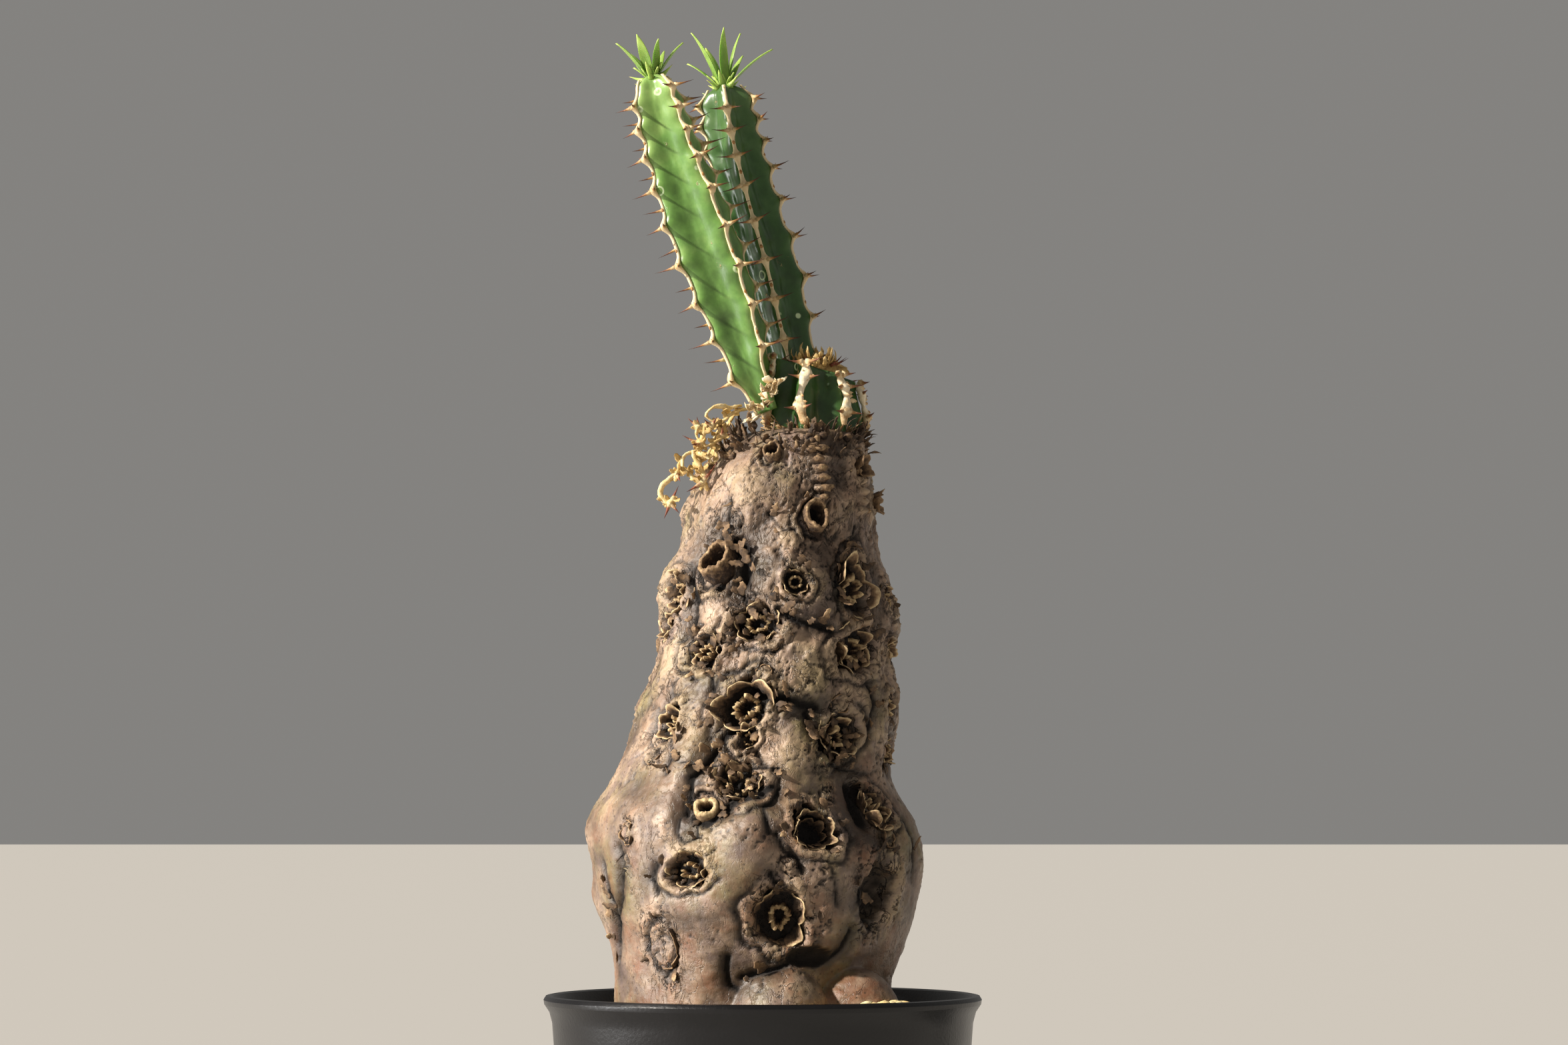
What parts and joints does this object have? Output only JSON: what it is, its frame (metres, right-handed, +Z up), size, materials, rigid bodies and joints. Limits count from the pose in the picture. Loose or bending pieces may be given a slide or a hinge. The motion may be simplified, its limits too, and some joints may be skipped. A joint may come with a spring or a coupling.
{
  "type": "potted succulent plant",
  "caption": "Potted euphorbia with a scarred, swollen brown trunk, two thorny four-angled green stems, a leafy tip on each, and a round black plastic pot.",
  "frame": {"origin": "centre of the pot's foot, on the surface it stands on", "axes": "+Z up, -Y towards the viewer of the picture, +X to the viewer's right"},
  "size_m": [0.12, 0.12, 0.3739],
  "materials": {
    "black_plastic": "satin",
    "pumice_mix": "matte",
    "bark": "matte",
    "green_skin": "satin",
    "cork_margin": "matte",
    "scarred_cork": "matte",
    "dried_tissue": "matte"
  },
  "bodies": {
    "root": {"pot": "black_plastic", "potting_mix": "pumice_mix", "caudex": "bark", "stump": "green_skin", "front_stem": "green_skin", "back_stem": "green_skin", "stump_callus": "dried_tissue", "dry_branch": "dried_tissue", "front_stem_margin_1": "cork_margin", "front_stem_margin_2": "cork_margin", "front_stem_margin_3": "cork_margin", "front_stem_margin_4": "cork_margin", "back_stem_margin_1": "cork_margin", "back_stem_margin_2": "cork_margin", "back_stem_margin_3": "cork_margin", "back_stem_margin_4": "cork_margin", "stump_margin_1": "scarred_cork", "stump_margin_2": "scarred_cork", "stump_margin_3": "scarred_cork", "stump_margin_4": "scarred_cork", "stump_margin_5": "scarred_cork", "stump_margin_6": "scarred_cork", "stump_margin_7": "scarred_cork"}
  },
  "joints": []
}
